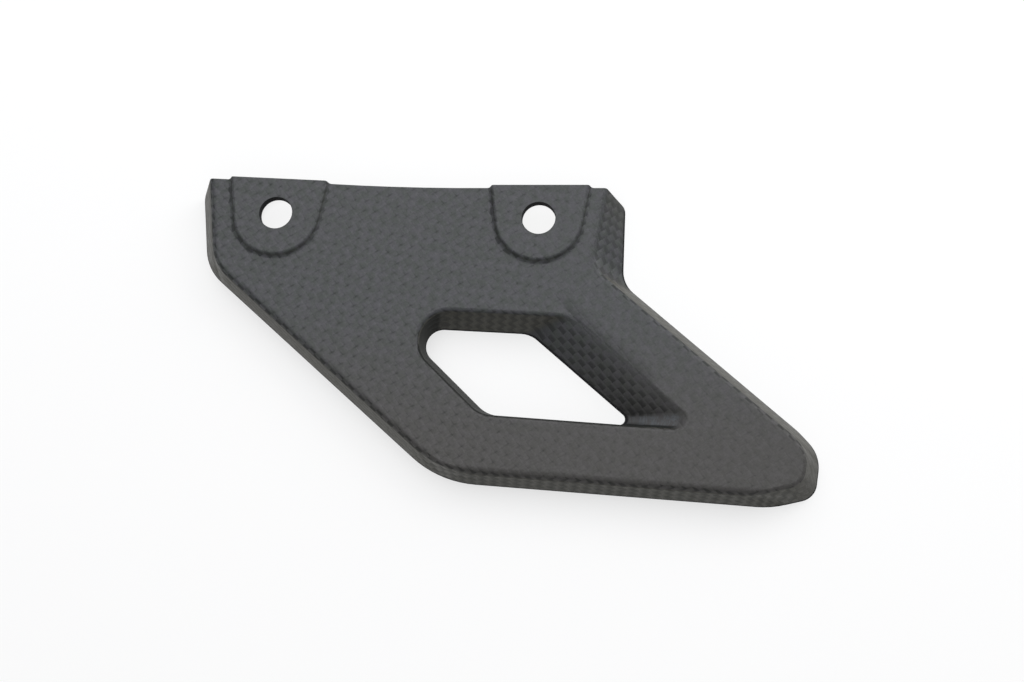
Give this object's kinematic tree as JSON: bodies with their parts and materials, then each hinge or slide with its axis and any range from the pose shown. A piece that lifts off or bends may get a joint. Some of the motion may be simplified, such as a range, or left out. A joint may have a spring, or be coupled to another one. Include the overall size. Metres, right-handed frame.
{
  "type": "motorcycle chain guard",
  "caption": "Thin moulded lower chain guard: a flat panel with turned-down flanges, a dished diamond window and raised pads round its bolt holes.",
  "frame": {"origin": "midway between the two bolt holes, on the flat seat faces behind the pads", "axes": "+X along the line of the two holes towards the guard's tip, +Y towards the trimmed top edge, +Z out of the panel's outer face"},
  "size_m": [0.1656, 0.0826, 0.0092],
  "materials": {
    "woven_laminate": "matt clear resin over plain-weave carbon cloth"
  },
  "bodies": {
    "root": {"guard_shell": "woven_laminate"}
  },
  "joints": []
}
